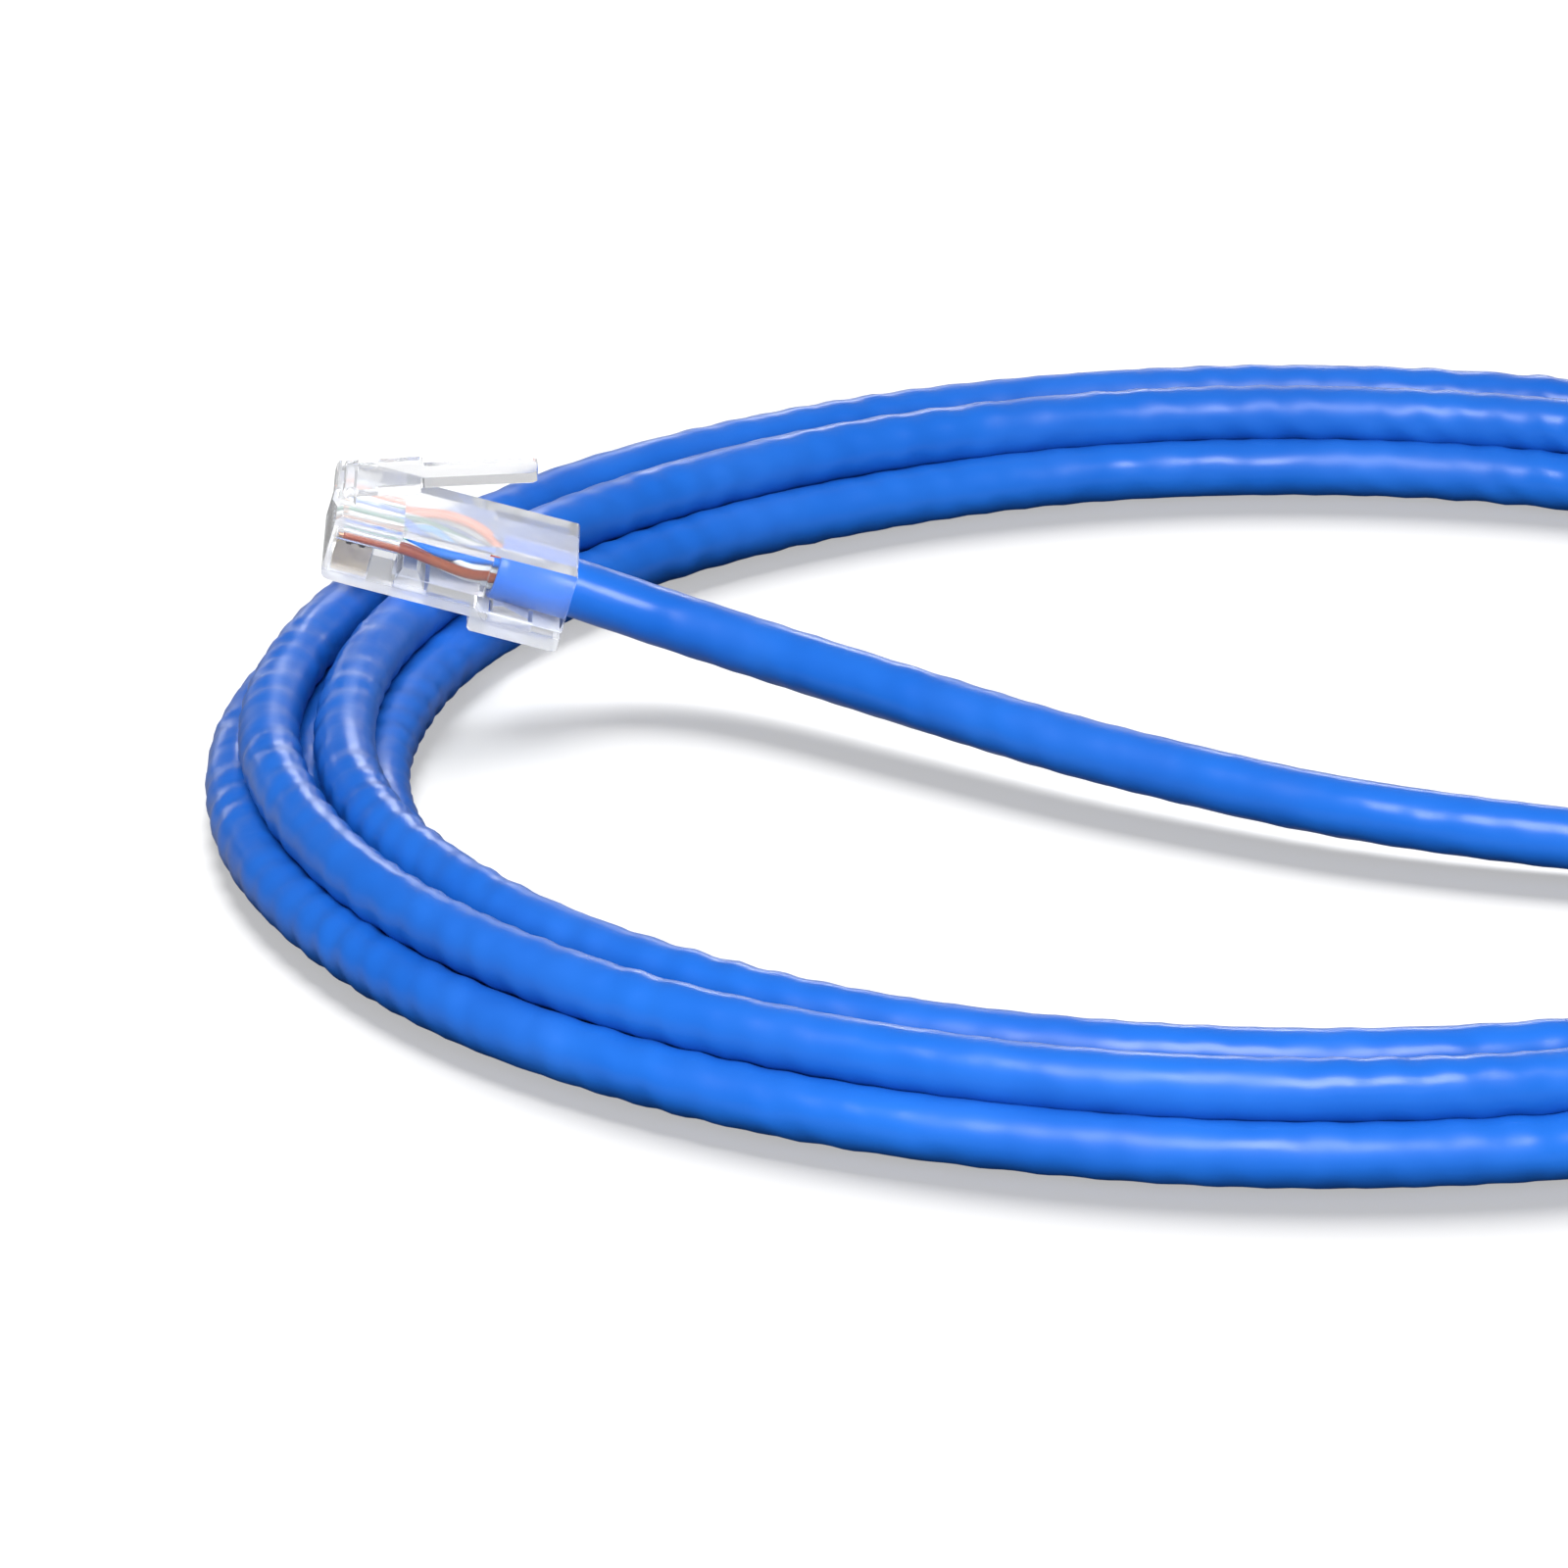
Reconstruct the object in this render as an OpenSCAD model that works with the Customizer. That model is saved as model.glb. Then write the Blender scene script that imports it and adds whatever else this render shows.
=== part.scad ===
// Ethernet patch cable: one length of round four-pair cable wound into a
// flat five-turn coil, with a clear 8-position modular plug on each end.
// Units are millimetres. Origin: centre of the coil on the surface it lies
// on, +Z up. Plug A points out over the coil on the -X side, plug B lies on
// top of the coil on the +X side.

/* [Cable] */
// Outer diameter of the jacket
cable_d = 5.5; // [5.3:0.1:5.6]
// Insulated conductor diameter
wire_d = 0.96; // [0.9:0.02:0.98]
// Copper core diameter
core_d = 0.5; // [0.4:0.02:0.6]

/* [Coil] */
// Mean radius of the coil
coil_r = 90; // [88:0.5:91]
// Spacing of neighbouring strands in a layer
strand_pitch = 6.5; // [6.4:0.05:6.6]
// Rise from the floor layer to the second layer
layer_rise = 4.44; // [4.3:0.02:4.5]

/* [Plug] */
// Width of the plug body
plug_w = 11.68; // [11.5:0.02:11.8]
// Height of the body at the cable end
plug_h = 8; // [7.9:0.1:8.2]
// Length of the body
plug_l = 23; // [22:0.1:23.2]
// Depth of the step on the contact side
step_h = 1.4; // [1.2:0.1:1.5]
// Length of the deep part of the body
step_l = 8.6; // [8:0.1:9]
// Pitch of the eight contacts
pin_pitch = 1.02; // [1:0.01:1.03]
// Thickness of a contact blade
blade_t = 0.35; // [0.3:0.01:0.4]

/* [Latch] */
// Angle of the relaxed latch above the body
latch_angle = 19; // [17:1:20]
// Length of the latch from its hinge to its free end
latch_l = 17.4; // [16:0.2:18]
// Width of the wide shoulder of the latch
shoulder_w = 6.3; // [6:0.1:6.5]
// Width of the thumb lever
lever_w = 3.4; // [3.2:0.1:4]
// Thickness of the latch
latch_t = 1; // [0.9:0.05:1.1]

/* [Hidden] */

rc = cable_d / 2;

// Where each plug lies: the point under the middle of its cable end, and
// the turn of its own axes (+X nose, +Y pin 8 side, +Z latch side).
a_pos = [-68.1, 30.4, 5.6];
a_rot = [-6.5, -16.5, 181.5];
b_pos = [90.2, -9, 10.05];
b_rot = [0, 0, 90];

// Centre line of the free cable from the jacket end inside plug A, over the
// rim of the coil, down to the floor and round to the innermost strand.
lead_a_pts = [
    [-73.7, 29.7, 11.9], [-66.9, 29.9, 9.65], [-60, 28.4, 7.65],
    [-50, 22.6, 6.1], [-40, 14.3, 5.5], [-30, 5.8, 5.05], [-20, -2.3, 4.65],
    [-10, -9.1, 4.3], [0, -15.1, 4], [10, -19.7, 3.75], [20, -23.2, 3.5],
    [32, -25.8, 3.15], [44, -24.8, 2.95], [55, -19.3, 2.8], [64, -10.8, 2.75],
    [70, 0.5, 2.75], [72.5, 13, 2.75], [71, 26, 2.75], [66.5, 38.5, 2.75],
    [60, 50.5, 2.75], [52, 62, 2.75], [41.5, 71.5, 2.75], [28.5, 78.5, 2.75]];

// Centre line of the free cable from the coil up to the jacket end in plug B.
lead_b_pts = [
    [24, -83.5, 7.2], [32.5, -80.5, 8.8], [41.5, -77, 11.4], [52, -71.5, 13.6],
    [61.5, -65, 14.2], [70, -56.5, 14.2], [77, -47, 14.2], [82.5, -36.5, 14.2],
    [87.5, -26, 14.2], [90, -16, 14.3], [90.2, -9, 14.4], [90.2, -1.9, 14.5]];

// --- vector helpers -------------------------------------------------------
function unit(v) = v / norm(v);
function dir(p, i) = unit(p[min(i + 1, len(p) - 1)] - p[max(i - 1, 0)]);
function side(d) = unit(cross([0, 0, 1], d));

// A round tube swept along the points p, with n sides.
module tube(p, r, n) {
    pts = [for (i = [0 : len(p) - 1])
               let (d = dir(p, i), s = side(d), u = cross(d, s))
               for (k = [0 : n - 1])
                   p[i] + r * (cos(360 * k / n) * s + sin(360 * k / n) * u)];
    m = len(p);
    faces = concat(
        [[for (k = [0 : n - 1]) k]],
        [for (i = [0 : m - 2]) for (k = [0 : n - 1])
            [i * n + k, (i + 1) * n + k, (i + 1) * n + (k + 1) % n]],
        [for (i = [0 : m - 2]) for (k = [0 : n - 1])
            [i * n + k, (i + 1) * n + (k + 1) % n, i * n + (k + 1) % n]],
        [[for (k = [n - 1 : -1 : 0]) (m - 1) * n + k]]);
    polyhedron(points = pts, faces = faces, convexity = 6);
}

// Carry a shape from a plug's own axes to where that plug lies.
module at_plug(pos, rot) { translate(pos) rotate(rot) children(); }

// A flat outline in a plug's own XZ plane, made w thick across the plug.
module across(w) {
    rotate([90, 0, 0]) linear_extrude(height = w, center = true) children();
}

// --- cable ----------------------------------------------------------------
// Outline of the five stacked strands: straight between the corner strands
// and round about each of them.
function arc_pts(c, r, a0, a1, n) =
    [for (i = [0 : n]) let (a = a0 + (a1 - a0) * i / n)
        c + r * [cos(a), sin(a)]];

module cable_coil() {
    lo = rc;
    hi = rc + layer_rise;
    tilt = atan2(layer_rise, strand_pitch / 2);
    color("royalblue")
    rotate_extrude($fn = 160)
    polygon(concat(
        arc_pts([coil_r + strand_pitch, lo], rc, -90, 90 - tilt, 8),
        arc_pts([coil_r + strand_pitch / 2, hi], rc, 90 - tilt, 90, 4),
        arc_pts([coil_r - strand_pitch / 2, hi], rc, 90, 90 + tilt, 4),
        arc_pts([coil_r - strand_pitch, lo], rc, 90 + tilt, 270, 8)));
}

module cable_lead_a() { color("royalblue") tube(lead_a_pts, rc - 0.02, 12); }
module cable_lead_b() { color("royalblue") tube(lead_b_pts, rc - 0.02, 12); }

// --- plug, in its own axes ------------------------------------------------
pins = [for (i = [0 : 7]) (i - 3.5) * pin_pitch];
wire_z = 5.5;          // height of the eight conductors in their channels
jacket_end = 7.2;      // how far the jacket reaches into the body
jacket_z = 4.5;        // height of the cable's centre at the jacket's end
cavity_end = 16.6;     // where the open cavity stops and the channels start
wire_end = 21.8;       // end of the insulation
hinge = [22.4, plug_h + 1.2];

module plug_housing() {
    difference() {
        // side outline: deep cable end, shallow nose, small chamfers
        union() {
            across(plug_w) polygon([
                [0.3, 0], [step_l - 0.3, 0], [step_l, 0.3], [step_l, step_h],
                [plug_l - 0.9, step_h], [plug_l - 0.4, step_h + 0.15],
                [plug_l - 0.1, step_h + 0.45], [plug_l, step_h + 0.9],
                [plug_l, plug_h - 0.5], [plug_l - 0.5, plug_h],
                [0.2, plug_h], [0, plug_h - 0.2], [0, 0.3]]);
            // low pad and front lip about the root of the latch
            across(shoulder_w) polygon([
                [hinge[0] - 1, plug_h - 0.5], [plug_l - 0.1, plug_h - 0.5],
                [plug_l + 0.6, plug_h + 0.2], [plug_l + 0.6, plug_h + 1],
                [plug_l + 0.45, plug_h + 1.35], [plug_l + 0.2, plug_h + 1.35],
                [plug_l + 0.2, plug_h + 0.45], [hinge[0] - 0.7, plug_h + 0.45],
                [hinge[0] - 1, plug_h + 0.2]]);
        }
        // cable entry
        translate([-1, -3.3, 1.3]) cube([jacket_end + 2, 6.6, 6.1]);
        // space where the conductors fan out into one row
        translate([jacket_end + 0.6, -4.5, 3.2])
            cube([cavity_end - jacket_end - 0.6, 9, 3.8]);
        // eight channels for the conductors
        for (y = pins)
            translate([cavity_end - 0.5, y, wire_z]) rotate([0, 90, 0])
                cylinder(r = 0.5, h = 22.4 - cavity_end + 0.5, $fn = 20);
        // eight slots for the contact blades, open on the contact side
        for (y = pins)
            translate([18.7, y - 0.2, step_h - 1]) cube([3.6, 0.4, 5]);
        // window of the jacket clamp
        translate([2.6, -2.7, -1]) cube([4.2, 5.4, 3]);
        // window of the conductor bar
        translate([13, -4.3, step_h - 1]) cube([3.2, 8.6, 3.2]);
    }
}

// The latch: a round root, a wide shoulder and a narrow lever, straight
// along its own length and raised by latch_angle about the hinge. The two
// plan outlines are half widths with eased corners.
shoulder_plan = [[0, 3], [-4.6, 3], [-5.2, 3.15], [-6.4, 3.15], [-6.7, 2.85],
                 [-6.7, 1.9], [-7.1, 1.4]];
module plan(half, w) {
    k = w / 2;
    outline = [for (p = half) [p[0], p[1] * k / 3.15]];
    polygon(concat(outline, [for (i = [len(half) - 1 : -1 : 0])
                                 [outline[i][0], -outline[i][1]]]));
}
module plug_latch() {
    translate([hinge[0], 0, hinge[1]])
    rotate([0, latch_angle, 0])
    difference() {
        union() {
            rotate([90, 0, 0])
                cylinder(r = latch_t / 2, h = shoulder_w, center = true, $fn = 32);
            translate([0, 0, -latch_t / 2]) linear_extrude(height = latch_t)
                plan(shoulder_plan, shoulder_w);
            translate([0, 0, -latch_t / 2]) linear_extrude(height = latch_t)
                polygon([[-6.5, -lever_w / 2], [-6.5, lever_w / 2],
                         [0.4 - latch_l, lever_w / 2], [-latch_l, lever_w / 2 - 0.4],
                         [-latch_l, 0.4 - lever_w / 2], [0.4 - latch_l, -lever_w / 2]]);
        }
        // thinned flexing strip just behind the root
        translate([-2.6, -shoulder_w, 0.2]) cube([1.8, 2 * shoulder_w, 1]);
    }
}

module plug_contacts() {
    for (y = pins)
        translate([0, y, 0]) across(blade_t) polygon([
            [18.85, 2], [22.15, 2], [22.15, 4.7], [21.7, 5.3], [21.3, 4.75],
            [20.9, 4.75], [20.5, 5.3], [20.1, 4.75], [19.7, 4.75],
            [19.3, 5.3], [18.85, 4.7]]);
}

module plug_jacket_clamp() {
    across(5.2) polygon([
        [2.9, 0.9], [6.2, 0.5], [6.6, 0.8], [6.6, 1.9], [5.6, 2.15],
        [3.1, 1.5]]);
}

module plug_conductor_bar() {
    across(8.4) polygon([
        [13.3, 1.9], [15.9, 1.9], [16.1, 2.2], [15.7, 4], [14.4, 4],
        [13.2, 2.2]]);
}

// Conductor i (1 to 8). Neighbours leave the jacket one above the other and
// turn into a single row before the channels.
function pair_y(i) = (floor((i - 1) / 2) - 1.5);
function wire_pt(i, t) =
    let (k = pair_y(i), odd = i % 2 == 1 ? -1 : 1,
         c = [jacket_end + (cavity_end - jacket_end) * t,
              k * (1.12 + (2 * pin_pitch - 1.12) * t),
              jacket_z + (wire_z - jacket_z) * t],
         a = 90 * (1 - t), h = 0.56 + (pin_pitch / 2 - 0.56) * t)
    c + odd * h * [0, cos(a), -sin(a)];
module plug_wire(i) {
    tube(concat([for (j = [0 : 6]) wire_pt(i, j / 6)],
                [[19, pins[i - 1], wire_z], [wire_end, pins[i - 1], wire_z]]),
         wire_d / 2, 8);
}

module plug_cores() {
    for (y = pins)
        translate([wire_end, y, wire_z]) rotate([0, 90, 0])
            cylinder(r = core_d / 2, h = 0.4, $fn = 16);
}

// --- plug A ---------------------------------------------------------------
module plug_a_housing() { color([0.86, 0.89, 0.92]) at_plug(a_pos, a_rot) plug_housing(); }
module plug_a_latch() { color([0.9, 0.92, 0.95]) at_plug(a_pos, a_rot) plug_latch(); }
module plug_a_contacts() { color("gold") at_plug(a_pos, a_rot) plug_contacts(); }
module plug_a_jacket_clamp() { color([0.8, 0.85, 0.9]) at_plug(a_pos, a_rot) plug_jacket_clamp(); }
module plug_a_conductor_bar() { color([0.8, 0.85, 0.9]) at_plug(a_pos, a_rot) plug_conductor_bar(); }
module plug_a_cores() { color("peru") at_plug(a_pos, a_rot) plug_cores(); }
module plug_a_wire_1() { color("navajowhite") at_plug(a_pos, a_rot) plug_wire(1); }
module plug_a_wire_2() { color("darkorange") at_plug(a_pos, a_rot) plug_wire(2); }
module plug_a_wire_3() { color("honeydew") at_plug(a_pos, a_rot) plug_wire(3); }
module plug_a_wire_4() { color("dodgerblue") at_plug(a_pos, a_rot) plug_wire(4); }
module plug_a_wire_5() { color("lightcyan") at_plug(a_pos, a_rot) plug_wire(5); }
module plug_a_wire_6() { color("green") at_plug(a_pos, a_rot) plug_wire(6); }
module plug_a_wire_7() { color("seashell") at_plug(a_pos, a_rot) plug_wire(7); }
module plug_a_wire_8() { color("sienna") at_plug(a_pos, a_rot) plug_wire(8); }

// --- plug B ---------------------------------------------------------------
module plug_b_housing() { color([0.86, 0.89, 0.92]) at_plug(b_pos, b_rot) plug_housing(); }
module plug_b_latch() { color([0.9, 0.92, 0.95]) at_plug(b_pos, b_rot) plug_latch(); }
module plug_b_contacts() { color("gold") at_plug(b_pos, b_rot) plug_contacts(); }
module plug_b_jacket_clamp() { color([0.8, 0.85, 0.9]) at_plug(b_pos, b_rot) plug_jacket_clamp(); }
module plug_b_conductor_bar() { color([0.8, 0.85, 0.9]) at_plug(b_pos, b_rot) plug_conductor_bar(); }
module plug_b_cores() { color("peru") at_plug(b_pos, b_rot) plug_cores(); }
module plug_b_wire_1() { color("navajowhite") at_plug(b_pos, b_rot) plug_wire(1); }
module plug_b_wire_2() { color("darkorange") at_plug(b_pos, b_rot) plug_wire(2); }
module plug_b_wire_3() { color("honeydew") at_plug(b_pos, b_rot) plug_wire(3); }
module plug_b_wire_4() { color("dodgerblue") at_plug(b_pos, b_rot) plug_wire(4); }
module plug_b_wire_5() { color("lightcyan") at_plug(b_pos, b_rot) plug_wire(5); }
module plug_b_wire_6() { color("green") at_plug(b_pos, b_rot) plug_wire(6); }
module plug_b_wire_7() { color("seashell") at_plug(b_pos, b_rot) plug_wire(7); }
module plug_b_wire_8() { color("sienna") at_plug(b_pos, b_rot) plug_wire(8); }

cable_coil();
cable_lead_a();
cable_lead_b();
plug_a_housing();
plug_a_latch();
plug_a_contacts();
plug_a_jacket_clamp();
plug_a_conductor_bar();
plug_a_cores();
plug_a_wire_1();
plug_a_wire_2();
plug_a_wire_3();
plug_a_wire_4();
plug_a_wire_5();
plug_a_wire_6();
plug_a_wire_7();
plug_a_wire_8();
plug_b_housing();
plug_b_latch();
plug_b_contacts();
plug_b_jacket_clamp();
plug_b_conductor_bar();
plug_b_cores();
plug_b_wire_1();
plug_b_wire_2();
plug_b_wire_3();
plug_b_wire_4();
plug_b_wire_5();
plug_b_wire_6();
plug_b_wire_7();
plug_b_wire_8();
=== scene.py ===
"""Ethernet patch cable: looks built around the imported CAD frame."""
import math

import bmesh
import bpy
import numpy as np
from mathutils import Matrix, Vector


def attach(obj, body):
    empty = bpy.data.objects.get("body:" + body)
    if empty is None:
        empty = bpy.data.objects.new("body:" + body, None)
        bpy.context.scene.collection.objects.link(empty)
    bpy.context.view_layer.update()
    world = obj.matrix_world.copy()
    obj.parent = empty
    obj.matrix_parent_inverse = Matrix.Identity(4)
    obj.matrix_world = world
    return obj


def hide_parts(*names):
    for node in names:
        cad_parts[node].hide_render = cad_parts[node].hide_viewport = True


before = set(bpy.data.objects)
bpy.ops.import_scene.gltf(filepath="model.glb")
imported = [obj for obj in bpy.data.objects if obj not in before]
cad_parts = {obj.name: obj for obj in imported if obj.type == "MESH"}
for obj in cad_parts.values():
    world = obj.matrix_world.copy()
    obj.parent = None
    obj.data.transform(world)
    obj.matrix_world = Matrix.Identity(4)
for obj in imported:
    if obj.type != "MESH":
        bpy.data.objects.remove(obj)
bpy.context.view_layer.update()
MM = 0.001
scene = bpy.context.scene


def link(obj):
    scene.collection.objects.link(obj)
    return obj


# ---------------------------------------------------------------- camera
def make_camera():
    e, roll, dist = math.radians(19.94), math.radians(-0.62), 1.0
    back = Vector((0, -math.cos(e), math.sin(e)))
    target = Vector((-0.0471, 0, 0.00073))
    fwd = -back
    right = fwd.cross(Vector((0, 0, 1))).normalized()
    up = right.cross(fwd)
    c, s = math.cos(roll), math.sin(roll)
    r2, u2 = right * c + up * s, up * c - right * s
    data = bpy.data.cameras.new("camera")
    data.sensor_width = 36
    data.lens = 11270 / 1600 * 36
    data.clip_start, data.clip_end = 0.05, 20
    cam = link(bpy.data.objects.new("camera", data))
    m = Matrix((
        (r2.x, u2.x, back.x, 0), (r2.y, u2.y, back.y, 0), (r2.z, u2.z, back.z, 0), (0, 0, 0, 1)))
    cam.matrix_world = Matrix.Translation(target + back * dist) @ m
    scene.camera = cam
    return cam


make_camera()

# ---------------------------------------------------------------- the cable's route, in mm
CABLE_D = 5.5
COIL_R, PITCH, Z_LOW, RISE = 90.0, 6.5, 2.75, 4.44
LEAD_A = [
    (-73.7, 29.7, 11.9), (-66.9, 29.9, 9.65), (-60, 28.4, 7.65),
    (-50, 22.6, 6.1), (-40, 14.3, 5.5), (-30, 5.8, 5.05), (-20, -2.3, 4.65),
    (-10, -9.1, 4.3), (0, -15.1, 4), (10, -19.7, 3.75), (20, -23.2, 3.5),
    (32, -25.8, 3.15), (44, -24.8, 2.95), (55, -19.3, 2.8), (64, -10.8, 2.75),
    (70, 0.5, 2.75), (72.5, 13, 2.75), (71, 26, 2.75), (66.5, 38.5, 2.75),
    (60, 50.5, 2.75), (52, 62, 2.75), (41.5, 71.5, 2.75)]
LEAD_B = [
    (32.5, -80.5, 8.8), (41.5, -77, 11.4), (52, -71.5, 13.6),
    (61.5, -65, 14.2), (70, -56.5, 14.2), (77, -47, 14.2), (82.5, -36.5, 14.2),
    (87.5, -26, 14.2), (90, -16, 14.3), (90.2, -9, 14.4), (90.2, -1.9, 14.5)]
# strand positions in the bundle: (radius, height)
INNER, MIDDLE, OUTER = (COIL_R - PITCH, Z_LOW), (COIL_R, Z_LOW), (COIL_R + PITCH, Z_LOW)
TOP_OUT, TOP_IN = (COIL_R + PITCH / 2, Z_LOW + RISE), (COIL_R - PITCH / 2, Z_LOW + RISE)
# where, in degrees, the cable steps from one position to the next on each turn
START, S1, S2, S3, S4, END = 72, (32, 54), (14, 36), (-34, -12), (-56, -34), -74
STAGES = [
    (INNER, START, 360 + S1[0]), (MIDDLE, 360 + S1[1], 720 + S2[0]),
    (OUTER, 720 + S2[1], 1080 + S3[0]), (TOP_OUT, 1080 + S3[1], 1440 + S4[0]),
    (TOP_IN, 1440 + S4[1], 1800 + END)]
HUMPS = [(1080 + S2[0] - 4, 1080 + S2[1] + 4), (1440 + S1[0] - 4, 1440 + S1[1] + 4), (1440 + S4[0], 1440 + S4[1])]


def ease(t):
    t = min(1.0, max(0.0, t))
    return t ** 3 * (10 - 15 * t + 6 * t * t)


def smooth(t):
    t = min(1.0, max(0.0, t))
    return t * t * (3 - 2 * t)


def coil_at(deg):
    for i, ((r, z), a, b) in enumerate(STAGES):
        if deg <= b or i == len(STAGES) - 1:
            if deg < a and i:
                (r0, z0), _, b0 = STAGES[i - 1]
                t = (deg - b0) / (a - b0)
                climbing = z > z0
                tr, tz = ((t - 0.2) / 0.8, t / 0.8) if climbing else (t, t)
                r, z = r0 + (r - r0) * ease(tr), z0 + (z - z0) * ease(tz)
            break
    for a, b in HUMPS:
        if a < deg < b:
            z += 1.06 * math.sin(math.pi * (deg - a) / (b - a)) ** 2
    return r, z


def spline(points, step):
    """A natural cubic spline through the points, sampled every step along it."""
    p = np.array(points, float)
    h = np.linalg.norm(np.diff(p, axis=0), axis=1)
    s = np.concatenate([[0], np.cumsum(h)])
    n = len(p)
    # second derivatives by the Thomas algorithm
    a, b, c = np.zeros(n), np.ones(n), np.zeros(n)
    d = np.zeros((n, 3))
    for i in range(1, n - 1):
        a[i], b[i], c[i] = h[i - 1], 2 * (h[i - 1] + h[i]), h[i]
        d[i] = 6 * ((p[i + 1] - p[i]) / h[i] - (p[i] - p[i - 1]) / h[i - 1])
    for i in range(1, n):
        w = a[i] / b[i - 1]
        b[i] -= w * c[i - 1]
        d[i] -= w * d[i - 1]
    m = np.zeros((n, 3))
    m[-1] = d[-1] / b[-1]
    for i in range(n - 2, -1, -1):
        m[i] = (d[i] - c[i] * m[i + 1]) / b[i]
    count = int(round(s[-1] / step)) + 1
    q = np.linspace(0, s[-1], count)
    k = np.clip(np.searchsorted(s, q, side="right") - 1, 0, n - 2)
    t0, t1, hk = (s[k + 1] - q)[:, None], (q - s[k])[:, None], h[k][:, None]
    return (m[k] * t0 ** 3 / (6 * hk) + m[k + 1] * t1 ** 3 / (6 * hk)
            + (p[k] / hk - m[k] * hk / 6) * t0 + (p[k + 1] / hk - m[k + 1] * hk / 6) * t1)


def cable_centreline(step=1.0):
    turns = []
    deg = START + 2.0
    while deg < 1800 + END - 2:
        r, z = coil_at(deg)
        turns.append((r * math.cos(math.radians(deg)), r * math.sin(math.radians(deg)), z))
        deg += 0.6
    line = spline(LEAD_A + turns + LEAD_B, step)
    # a hand-wound coil is never quite even: a slow, small wander that fades out at both plugs
    s = np.arange(len(line)) * step
    n = len(line)
    fade = np.clip(np.minimum(s - 60, s[-1] - 60 - s) / 60, 0, 1)
    radial = line.copy(); radial[:, 2] = 0
    radial /= np.linalg.norm(radial, axis=1)[:, None]
    wander = 0.13 * np.sin(s / 23.0 + 1.3) + 0.10 * np.sin(s / 11.7 + 0.4) + 0.06 * np.sin(s / 6.1)
    line += radial * (wander * fade)[:, None]
    return line, s


# ---------------------------------------------------------------- mesh helpers
def tube_frames(line):
    d = np.gradient(line, axis=0)
    d /= np.linalg.norm(d, axis=1)[:, None]
    side = np.cross(np.array([0, 0, 1.0]), d)
    side /= np.linalg.norm(side, axis=1)[:, None]
    return d, side, np.cross(d, side)


def tube_mesh(name, line, radius, sides, mouths=False, uv_scale=1.0, floor=False):
    """A tube along line (mm). radius(i, angles) gives each ring's radii. With mouths, each end is cut square and hollow."""
    n = len(line)
    d, side, up = tube_frames(line)
    ang = np.linspace(0, 2 * math.pi, sides, endpoint=False)
    rings = []
    for i in range(n):
        r = radius(i, ang)
        rings.append(line[i] + (np.cos(ang) * r)[:, None] * side[i] + (np.sin(ang) * r)[:, None] * up[i])
    v_of = list(np.concatenate([[0], np.cumsum(np.linalg.norm(np.diff(line, axis=0), axis=1))]))

    def inner(i, depth, r, sign):
        c = line[i] + sign * depth * d[i]
        return c + (np.cos(ang) * r)[:, None] * side[i] + (np.sin(ang) * r)[:, None] * up[i]

    if mouths:
        rim = CABLE_D / 2
        head = [inner(0, 1.6, rim - 0.62, 1), inner(0, 0.03, rim - 0.6, 1), inner(0, 0, rim - 0.45, 1), inner(0, 0, rim - 0.08, 1)]
        tail = [inner(n - 1, 0, rim - 0.08, -1), inner(n - 1, 0, rim - 0.45, -1), inner(n - 1, 0.03, rim - 0.6, -1), inner(n - 1, 1.6, rim - 0.62, -1)]
        rings[0] = inner(0, 0.08, rim, 1)
        rings[-1] = inner(n - 1, 0.08, rim, -1)
        rings = head + rings + tail
        v_of = [0] * 4 + v_of + [v_of[-1]] * 4
    verts = np.concatenate(rings) * MM
    if floor:
        verts[:, 2] = np.maximum(verts[:, 2], 0.0)
    m = len(rings)
    faces = []
    for i in range(m - 1):
        a, b = i * sides, (i + 1) * sides
        for k in range(sides):
            k2 = (k + 1) % sides
            faces.append((a + k, a + k2, b + k2, b + k))
    faces.append(tuple(range(sides - 1, -1, -1)))
    faces.append(tuple((m - 1) * sides + k for k in range(sides)))
    mesh = bpy.data.meshes.new(name)
    mesh.from_pydata([tuple(v) for v in verts], [], faces)
    uv = mesh.uv_layers.new(name="UVMap")
    co = np.zeros(len(mesh.loops) * 2, np.float32)
    li = 0
    for i in range(m - 1):
        v0, v1 = v_of[i] * uv_scale, v_of[i + 1] * uv_scale
        for k in range(sides):
            u0, u1 = k / sides, (k + 1) / sides
            co[li:li + 8] = (u0, v0, u1, v0, u1, v1, u0, v1)
            li += 8
    uv.data.foreach_set("uv", co)
    mesh.polygons.foreach_set("use_smooth", np.ones(len(mesh.polygons), bool))
    mesh.update()
    return link(bpy.data.objects.new(name, mesh))


# ---------------------------------------------------------------- materials
def material(name):
    mat = bpy.data.materials.new(name)
    mat.use_nodes = True
    nt = mat.node_tree
    nt.nodes.clear()
    out = nt.nodes.new("ShaderNodeOutputMaterial")
    bsdf = nt.nodes.new("ShaderNodeBsdfPrincipled")
    nt.links.new(bsdf.outputs[0], out.inputs[0])
    return mat, nt, bsdf, out


def noise(nt, scale, detail=2.0, rough=0.5, coords="Object"):
    tc = nt.nodes.new("ShaderNodeTexCoord")
    n = nt.nodes.new("ShaderNodeTexNoise")
    n.inputs["Scale"].default_value = scale
    n.inputs["Detail"].default_value = detail
    n.inputs["Roughness"].default_value = rough
    nt.links.new(tc.outputs[coords], n.inputs["Vector"])
    return n


def ramp(nt, fac, stops):
    r = nt.nodes.new("ShaderNodeValToRGB")
    while len(r.color_ramp.elements) < len(stops):
        r.color_ramp.elements.new(0.5)
    for e, (pos, col) in zip(r.color_ramp.elements, stops):
        e.position = pos
        e.color = (*col, 1)
    nt.links.new(fac, r.inputs["Fac"])
    return r


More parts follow.
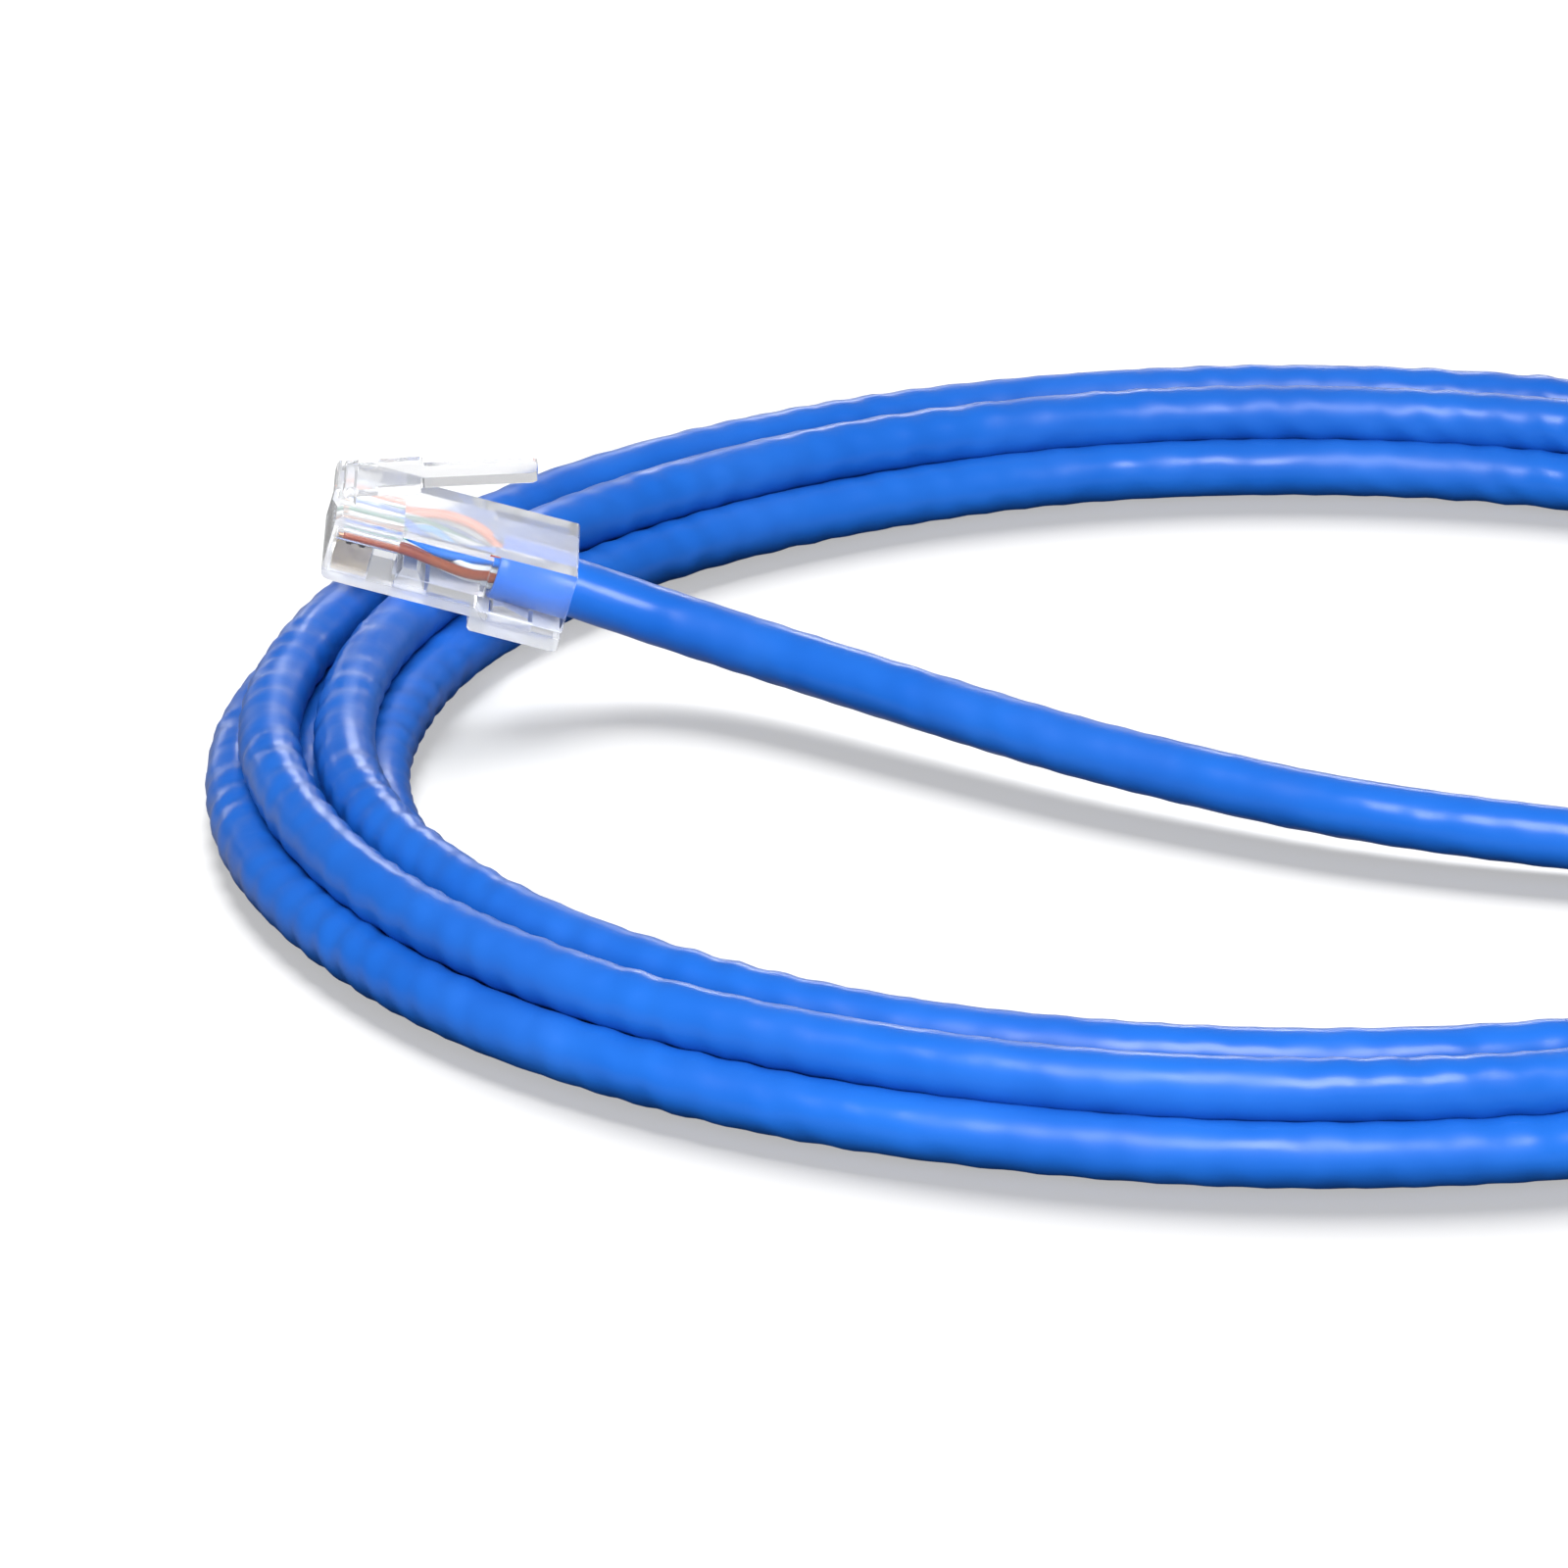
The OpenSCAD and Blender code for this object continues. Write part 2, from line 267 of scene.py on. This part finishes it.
def bump(nt, bsdf, height, strength, distance):
    b = nt.nodes.new("ShaderNodeBump")
    b.inputs["Strength"].default_value = strength
    b.inputs["Distance"].default_value = distance
    nt.links.new(height, b.inputs["Height"])
    nt.links.new(b.outputs[0], bsdf.inputs["Normal"])
    return b


def jacket_material():
    mat, nt, bsdf, _ = material("jacket_blue_pvc")
    big = noise(nt, 90, 3)
    col = ramp(nt, big.outputs["Fac"], [(0.3, (0.0075, 0.098, 0.455)), (0.7, (0.0115, 0.118, 0.51))])
    nt.links.new(col.outputs[0], bsdf.inputs["Base Color"])
    fine = noise(nt, 1800, 3, 0.6)
    # the gloss comes and goes along the cable
    patch = noise(nt, 48, 2.5, 0.5)
    rough = value_math(nt, "MULTIPLY_ADD", step_up(nt, patch.outputs["Fac"], 0.42, 0.56), -0.16, 0.45)
    nt.links.new(rough, bsdf.inputs["Roughness"])
    bsdf.inputs["Specular IOR Level"].default_value = 0.36
    dents = noise(nt, 150, 1.5, 0.4)
    b = bump(nt, bsdf, dents.outputs["Fac"], 0.8, 0.0007)
    b2 = nt.nodes.new("ShaderNodeBump")
    b2.inputs["Strength"].default_value = 0.08
    b2.inputs["Distance"].default_value = 0.00004
    nt.links.new(fine.outputs["Fac"], b2.inputs["Height"])
    nt.links.new(b2.outputs[0], b.inputs["Normal"])
    return mat


def value_math(nt, op, a, b=None, c=None):
    m = nt.nodes.new("ShaderNodeMath")
    m.operation = op
    for i, v in enumerate((a, b, c)):
        if v is None:
            continue
        if isinstance(v, (int, float)):
            m.inputs[i].default_value = v
        else:
            nt.links.new(v, m.inputs[i])
    return m.outputs[0]


def step_up(nt, value, lo, hi):
    """0 below lo, 1 above hi, eased between."""
    r = nt.nodes.new("ShaderNodeMapRange")
    r.interpolation_type = "SMOOTHSTEP"
    r.inputs["From Min"].default_value = lo
    r.inputs["From Max"].default_value = hi
    nt.links.new(value, r.inputs["Value"])
    return r.outputs[0]


def clear_material(name, place=None, tint=(0.955, 0.96, 0.97), rough=0.03, haze=(0.02, 0.31), grain=0.02):
    """Clear moulded plastic: polished on its sides, faintly grained where the mould's top and bottom plates met it.

    place is the matrix of the plug, in mm, whose solid nose block scatters a little more light than its thin walls.
    """
    mat, nt, bsdf, out = material(name)
    bsdf.inputs["Base Color"].default_value = (*tint, 1)
    bsdf.inputs["IOR"].default_value = 1.42
    geo = nt.nodes.new("ShaderNodeNewGeometry")
    dot = nt.nodes.new("ShaderNodeVectorMath"); dot.operation = "DOT_PRODUCT"
    up = (place.to_3x3() @ Vector((0, 0, 1))) if place else Vector((0, 0, 1))
    dot.inputs[1].default_value = tuple(up)
    nt.links.new(geo.outputs["True Normal"], dot.inputs[0])
    flat = step_up(nt, value_math(nt, "ABSOLUTE", dot.outputs["Value"]), 0.55, 0.9)
    h = value_math(nt, "MULTIPLY_ADD", flat, haze[1] - haze[0], haze[0])
    if place:
        tc = nt.nodes.new("ShaderNodeTexCoord")
        mp = nt.nodes.new("ShaderNodeMapping")
        inv = place.inverted()
        mp.inputs["Scale"].default_value = (1000, 1000, 1000)
        mp.inputs["Rotation"].default_value = tuple(inv.to_3x3().to_euler())
        mp.inputs["Location"].default_value = tuple(inv.translation)
        nt.links.new(tc.outputs["Object"], mp.inputs["Vector"])
        sep = nt.nodes.new("ShaderNodeSeparateXYZ")
        nt.links.new(mp.outputs[0], sep.inputs[0])
        block = value_math(nt, "MULTIPLY", step_up(nt, sep.outputs["X"], 16.2, 16.8), step_up(nt, sep.outputs["Z"], 6.75, 7.05))
        h = value_math(nt, "MAXIMUM", h, value_math(nt, "MULTIPLY", block, 0.42))
        foot = value_math(nt, "MULTIPLY_ADD", step_up(nt, sep.outputs["X"], 7.2, 8.4), 1.0, 1.7)
        base = value_math(nt, "SUBTRACT", 1.0, step_up(nt, value_math(nt, "SUBTRACT", sep.outputs["Z"], foot), -0.6, 0.2))
        h = value_math(nt, "MAXIMUM", h, value_math(nt, "MULTIPLY", base, 0.36))
    soft = noise(nt, 260, 2)
    vary = value_math(nt, "MULTIPLY_ADD", soft.outputs["Fac"], 0.04, -0.02)
    h = value_math(nt, "ADD", h, vary)
    clearness = value_math(nt, "SUBTRACT", 1.0, h)
    nt.links.new(clearness, bsdf.inputs["Transmission Weight"])
    rr = nt.nodes.new("ShaderNodeMapRange")
    rr.inputs["To Min"].default_value = rough * 0.6
    rr.inputs["To Max"].default_value = rough * 1.6
    nt.links.new(soft.outputs["Fac"], rr.inputs["Value"])
    grained = value_math(nt, "MULTIPLY_ADD", flat, grain, rr.outputs[0])
    nt.links.new(grained, bsdf.inputs["Roughness"])
    clear = nt.nodes.new("ShaderNodeBsdfTransparent")
    clear.inputs[0].default_value = (0.90, 0.91, 0.92, 1)
    lp = nt.nodes.new("ShaderNodeLightPath")
    mix = nt.nodes.new("ShaderNodeMixShader")
    nt.links.new(lp.outputs["Is Shadow Ray"], mix.inputs[0])
    nt.links.new(bsdf.outputs[0], mix.inputs[1])
    nt.links.new(clear.outputs[0], mix.inputs[2])
    nt.links.new(mix.outputs[0], out.inputs[0])
    return mat


def metal_material(name, light, dark, rough, scale=900):
    mat, nt, bsdf, _ = material(name)
    n = noise(nt, scale, 4, 0.6)
    col = ramp(nt, n.outputs["Fac"], [(0.3, dark), (0.7, light)])
    nt.links.new(col.outputs[0], bsdf.inputs["Base Color"])
    bsdf.inputs["Metallic"].default_value = 1.0
    rr = nt.nodes.new("ShaderNodeMapRange")
    rr.inputs["To Min"].default_value = rough * 0.8
    rr.inputs["To Max"].default_value = rough * 1.3
    nt.links.new(n.outputs["Fac"], rr.inputs["Value"])
    nt.links.new(rr.outputs[0], bsdf.inputs["Roughness"])
    bump(nt, bsdf, n.outputs["Fac"], 0.15, 0.00003)
    return mat


def wire_material(name, base, stripe=None):
    mat, nt, bsdf, _ = material(name)
    n = noise(nt, 700, 3)
    base = tuple(c * 0.87 for c in base)
    stripe = stripe and tuple(c * 0.87 for c in stripe)
    lo = tuple(c * 0.88 for c in base)
    col = ramp(nt, n.outputs["Fac"], [(0.3, lo), (0.7, base)])
    shown = col.outputs[0]
    if stripe:
        uv = nt.nodes.new("ShaderNodeUVMap")
        uv.uv_map = "UVMap"
        sep = nt.nodes.new("ShaderNodeSeparateXYZ")
        nt.links.new(uv.outputs[0], sep.inputs[0])
        turn = nt.nodes.new("ShaderNodeMath"); turn.operation = "MULTIPLY_ADD"
        turn.inputs[1].default_value = 0.045
        nt.links.new(sep.outputs["Y"], turn.inputs[0])
        nt.links.new(sep.outputs["X"], turn.inputs[2])
        fr = nt.nodes.new("ShaderNodeMath"); fr.operation = "FRACT"
        nt.links.new(turn.outputs[0], fr.inputs[0])
        band = nt.nodes.new("ShaderNodeMath"); band.operation = "COMPARE"
        band.inputs[1].default_value = 0.5
        band.inputs[2].default_value = 0.13
        nt.links.new(fr.outputs[0], band.inputs[0])
        mix = nt.nodes.new("ShaderNodeMix"); mix.data_type = "RGBA"
        nt.links.new(band.outputs[0], mix.inputs["Factor"])
        nt.links.new(shown, mix.inputs["A"])
        sc = ramp(nt, n.outputs["Fac"], [(0.3, tuple(c * 0.9 for c in stripe)), (0.7, stripe)])
        nt.links.new(sc.outputs[0], mix.inputs["B"])
        shown = mix.outputs["Result"]
    nt.links.new(shown, bsdf.inputs["Base Color"])
    bsdf.inputs["Roughness"].default_value = 0.38
    bump(nt, bsdf, n.outputs["Fac"], 0.1, 0.00004)
    return mat


def plug_matrix(pos, rot):
    rx, ry, rz = (math.radians(a) for a in rot)
    r = Matrix.Rotation(rz, 4, "Z") @ Matrix.Rotation(ry, 4, "Y") @ Matrix.Rotation(rx, 4, "X")
    return Matrix.Translation(Vector(pos)) @ r


PLUGS = {"a": plug_matrix((-68.1, 30.4, 5.6), (-6.5, -16.5, 181.5)), "b": plug_matrix((90.2, -9, 10.05), (0, 0, 90))}


JACKET = jacket_material()
HOUSING = {k: clear_material(f"clear_polycarbonate_{k}", m) for k, m in PLUGS.items()}
LATCH = clear_material("clear_polycarbonate_latch", None, (0.955, 0.96, 0.975), 0.03, (0.03, 0.08), 0.03)
BARS = clear_material("clear_polycarbonate_bars", None, (0.98, 0.985, 0.99), 0.06, (0.1, 0.2), 0.1)
GOLD = metal_material("gold_plate", (0.72, 0.64, 0.50), (0.60, 0.52, 0.39), 0.5)
COPPER = metal_material("copper_core", (0.93, 0.55, 0.36), (0.78, 0.40, 0.24), 0.3)
BLUE, ORANGE, GREEN, BROWN = (0.0, 0.15, 0.62), (0.72, 0.13, 0.02), (0.01, 0.20, 0.13), (0.25, 0.055, 0.018)
WHITE = (0.66, 0.69, 0.70)
WIRES = {
    1: wire_material("insulation_white_orange", WHITE, ORANGE), 2: wire_material("insulation_orange", ORANGE),
    3: wire_material("insulation_white_green", WHITE, GREEN), 4: wire_material("insulation_blue", BLUE),
    5: wire_material("insulation_white_blue", WHITE, (0.0, 0.28, 0.62)), 6: wire_material("insulation_green", GREEN),
    7: wire_material("insulation_white_brown", WHITE, BROWN), 8: wire_material("insulation_brown", BROWN)}

# ---------------------------------------------------------------- cable
LINE, ARC = cable_centreline(1.0)
PAIR_PITCH = (8.5, 9.3, 10.4, 12.1)
LAY = 88.0
_total = ARC[-1]


def jacket_radius(i, ang):
    """The jacket is drawn over four twisted pairs, so each pair shows as a row of low ripples that winds round the cable."""
    s = ARC[i]
    amp = 0.05 + 0.06 * smooth((s - 150) / 120)
    amp *= 0.75 + 0.25 * math.sin(s / 31.0 + 0.8) + 0.12 * math.sin(s / 13.0)
    near_end = min(1.0, max(0.2, min(s, _total - s) / 40))
    r = np.full(len(ang), CABLE_D / 2 - 0.01)
    for k, p in enumerate(PAIR_PITCH):
        psi = 2 * math.pi * s / LAY + k * math.pi / 2
        w = np.clip(0.25 + 0.75 * np.cos(ang - psi), 0, 1)
        crest = 0.5 + 0.5 * np.cos(1.6 * (ang - psi) - 4 * math.pi * s / p)
        r += amp * near_end * w * (crest ** 1.5 - 0.4) * 1.5
    return r


cable = tube_mesh("cable_jacket", LINE, jacket_radius, 26, mouths=True, uv_scale=1.0, floor=True)
cable.data.materials.append(JACKET)
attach(cable, "cable")
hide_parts("cable_coil", "cable_lead_a", "cable_lead_b")


# ---------------------------------------------------------------- plugs
PIN_PITCH, JACKET_END, JACKET_Z, CAVITY_END, WIRE_END, WIRE_Z = 1.02, 7.2, 4.5, 16.6, 21.8, 5.5
# each conductor's path in the plug's own axes, from inside the jacket to its channel: the pairs leave the
# jacket twisted, cross over each other and lie down side by side in pin order
FAN = {
    8: [(5.8, 1.2, 4.0), (7.2, 1.4, 4.1), (8.6, 2.1, 4.15), (10.2, 2.8, 4.4), (12, 3.25, 4.8), (14, 3.5, 5.2), (15.6, 3.57, 5.45)],
    7: [(5.8, 0.5, 3.2), (7.2, 0.65, 3.15), (8.8, 1.3, 3.4), (10.6, 1.95, 3.9), (12.6, 2.3, 4.45), (14.4, 2.5, 5.0), (15.6, 2.55, 5.35)],
    6: [(5.8, -0.4, 3.5), (7.2, -0.4, 3.55), (8.8, -0.2, 3.9), (10.6, 0.5, 4.3), (12, 0.8, 4.45), (13.6, 0.8, 4.6), (15.3, 1.35, 5.1)],
    5: [(5.8, 0.5, 4.4), (7.2, 0.6, 4.5), (8.4, 1.3, 4.45), (9.8, 1.8, 4.6), (11.2, 1.5, 5.0), (12.6, 0.7, 5.5), (14, 0.5, 5.8), (15.5, 0.5, 5.6)],
    4: [(5.8, 0.8, 5.4), (7.2, 0.9, 5.5), (8.6, 1.2, 5.4), (10.2, 1.5, 5.25), (12, 1.75, 5.2), (13.8, 1.9, 5.35), (15.2, 1.7, 5.75), (16.0, 0.7, 5.9)],
    3: [(5.8, -0.6, 4.5), (7.2, -0.6, 4.55), (8.8, -0.9, 4.6), (10.6, -1.2, 4.85), (12.6, -1.4, 5.2), (14.6, -1.53, 5.45)],
    2: [(5.8, -0.2, 5.6), (7.2, -0.3, 5.7), (8.6, -1.3, 6.1), (10.4, -2.1, 6.35), (12.4, -2.5, 6.3), (14.2, -2.6, 6.0), (15.6, -2.55, 5.65)],
    1: [(5.8, -1.3, 5.1), (7.2, -1.35, 5.15), (8.8, -2.1, 5.3), (10.6, -2.9, 5.5), (12.6, -3.4, 5.6), (14.6, -3.57, 5.55)]}


def wire_line(pin):
    y = (pin - 4.5) * PIN_PITCH
    return FAN[pin] + [(x, y, WIRE_Z) for x in (16.7, 17.8, 19.4, WIRE_END)]


def make_wire(plug, pin):
    m = PLUGS[plug]
    line = spline(wire_line(pin), 0.3)
    line = np.array([tuple(m @ Vector(p)) for p in line])
    r = 0.49
    n = len(line)

    def radius(i, ang):
        return np.full(len(ang), r)

    wire = tube_mesh(f"wire_{plug}_{pin}", line, radius, 14)
    wire.data.materials.append(WIRES[pin])
    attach(wire, "cable")
    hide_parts(f"plug_{plug}_wire_{pin}")
    return wire


def finish_cad(node, mat, bevel=0.0, segments=2, angle=35):
    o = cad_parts[node]
    o.data.materials.clear()
    o.data.materials.append(mat)
    for p in o.data.polygons:
        p.use_smooth = bevel > 0
    if bevel:
        b = o.modifiers.new("edges", "BEVEL")
        b.width = bevel * MM
        b.segments = segments
        b.limit_method = "ANGLE"
        b.angle_limit = math.radians(angle)
        b.harden_normals = True
        b.use_clamp_overlap = True
    return o


plug_b_pieces = []
for plug in "ab":
    for pin in range(1, 9):
        w = make_wire(plug, pin)
        if plug == "b":
            plug_b_pieces.append(w)
    finish_cad(f"plug_{plug}_housing", HOUSING[plug], 0.12)
    finish_cad(f"plug_{plug}_latch", LATCH, 0.15)
    finish_cad(f"plug_{plug}_jacket_clamp", BARS, 0.1)
    finish_cad(f"plug_{plug}_conductor_bar", BARS, 0.1)
    finish_cad(f"plug_{plug}_contacts", GOLD, 0.03, 1)
    finish_cad(f"plug_{plug}_cores", COPPER)
plug_b_pieces += [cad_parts[f"plug_b_{k}"] for k in ("housing", "latch", "contacts", "jacket_clamp", "conductor_bar", "cores")]


# ---------------------------------------------------------------- floor and light
def make_floor():
    mesh = bpy.data.meshes.new("floor")
    s = 3.0
    mesh.from_pydata([(-s, -s, 0), (s, -s, 0), (s, s, 0), (-s, s, 0)], [], [(0, 1, 2, 3)])
    floor = link(bpy.data.objects.new("floor", mesh))
    mat, nt, bsdf, _ = material("floor_white")
    bsdf.inputs["Roughness"].default_value = 0.9
    bsdf.inputs["Specular IOR Level"].default_value = 0.1
    bsdf.inputs["Emission Color"].default_value = (1, 1, 1, 1)
    # white to the eye and through clear plastic, greyer in what it throws back on to the cable
    lp = nt.nodes.new("ShaderNodeLightPath")
    bounce = value_math(nt, "ADD", lp.outputs["Is Diffuse Ray"], lp.outputs["Is Glossy Ray"])
    through = value_math(nt, "MULTIPLY", bounce, value_math(nt, "SUBTRACT", 1.0, lp.outputs["Is Transmission Ray"]))
    nt.links.new(value_math(nt, "MULTIPLY_ADD", through, -0.45, 0.45), bsdf.inputs["Emission Strength"])
    nt.links.new(value_math(nt, "MULTIPLY_ADD", through, -0.17, 0.35), bsdf.inputs["Base Color"])
    mesh.materials.append(mat)
    return floor


def area(name, loc, target, size, power, size_y=None):
    data = bpy.data.lights.new(name, "AREA")
    data.shape = "RECTANGLE"
    data.size, data.size_y = size, size_y or size
    data.energy = power
    o = link(bpy.data.objects.new(name, data))
    o.location = loc
    o.rotation_mode = "QUATERNION"
    o.rotation_quaternion = (Vector(target) - Vector(loc)).to_track_quat("-Z", "Y")
    return o


def only_on(light, objects):
    """A studio flag: the light falls on these objects only."""
    group = bpy.data.collections.new(light.name + "_on")
    for o in objects:
        group.objects.link(o)
    light.light_linking.receiver_collection = group


pieces = [o for o in scene.objects if o.type == "MESH"]
floor = make_floor()
# the paper sweep is lit from behind and above, so shadows fall softly towards the camera
sun = link(bpy.data.objects.new("sweep", bpy.data.lights.new("sweep", "SUN")))
sun.data.energy, sun.data.angle = 8.4, math.radians(26)
sun.rotation_mode = "QUATERNION"
sun.rotation_quaternion = Vector((0.03, -0.766, -0.643)).to_track_quat("-Z", "Y")
only_on(sun, [floor])
# the cable is lit by a large softbox above the camera, a soft front light, a small lamp that draws the short streaks,
# a weak one behind so that the far sides are not left dark, a low strip that draws the rims,
# and a small lamp behind that picks out the ripples of the left bend
plastic = [o for o in pieces if o.name.split("_", 2)[-1] in ("housing", "latch", "jacket_clamp", "conductor_bar")]
opaque = [o for o in pieces if o not in plastic]
only_on(area("softbox", (-0.15, -0.70, 0.85), (0, 0, 0), 0.75, 16.5, 0.5), opaque)
front = area("front", (-0.05, -1.0, 0.28), (0, 0, 0.005), 0.7, 6.3, 0.35)
front.visible_glossy = False
only_on(front, opaque)
only_on(area("softbox_low", (-0.15, -0.70, 0.85), (0, 0, 0), 0.75, 12, 0.5), plastic)
small = area("streak", (0.05, -1.0, 1.0), (0, 0, 0), 0.12, 0.8, 0.07)
only_on(small, pieces)
fill = area("fill", (0.25, 1.0, 0.9), (0, 0, 0), 0.8, 4, 0.8)
fill.visible_glossy = False
only_on(fill, opaque)
strip = area("rim", (0.1, 1.5, 0.09), (0, 0, 0.01), 2.0, 2.4, 0.06)
strip.visible_diffuse = False
only_on(strip, pieces)
ticks = area("ticks", (0.02, 1.2, 0.45), (-0.05, 0, 0), 0.3, 1.35, 0.07)
ticks.visible_diffuse = False
only_on(ticks, opaque)
world = bpy.data.worlds.new("world")
world.use_nodes = True
wt = world.node_tree
bg = wt.nodes["Background"]
bg.inputs[0].default_value = (1, 1, 1, 1)
# a studio dome: even for the diffuse light, and for what is mirrored or seen through the clear plastic
# white at the height of the walls and grey overhead
wlp = wt.nodes.new("ShaderNodeLightPath")
wtc = wt.nodes.new("ShaderNodeTexCoord")
wsep = wt.nodes.new("ShaderNodeSeparateXYZ")
wt.links.new(wtc.outputs["Generated"], wsep.inputs[0])
dome = wt.nodes.new("ShaderNodeMapRange")
dome.interpolation_type = "SMOOTHSTEP"
dome.inputs["From Min"].default_value, dome.inputs["From Max"].default_value = 0.25, 0.6
dome.inputs["To Min"].default_value, dome.inputs["To Max"].default_value = 1.0, 0.35
wt.links.new(wsep.outputs["Z"], dome.inputs["Value"])
seen = value_math(wt, "MULTIPLY", dome.outputs[0], wlp.outputs["Is Transmission Ray"])
mirrored = value_math(wt, "MULTIPLY", wlp.outputs["Is Glossy Ray"], 0.11)
even = value_math(wt, "MULTIPLY", wlp.outputs["Is Diffuse Ray"], 0.20)
cam_part = value_math(wt, "MULTIPLY", wlp.outputs["Is Camera Ray"], 0.9)
total = value_math(wt, "ADD", value_math(wt, "ADD", seen, mirrored), value_math(wt, "ADD", even, cam_part))
wt.links.new(total, bg.inputs[1])
scene.world = world
scene.view_settings.view_transform = "Standard"
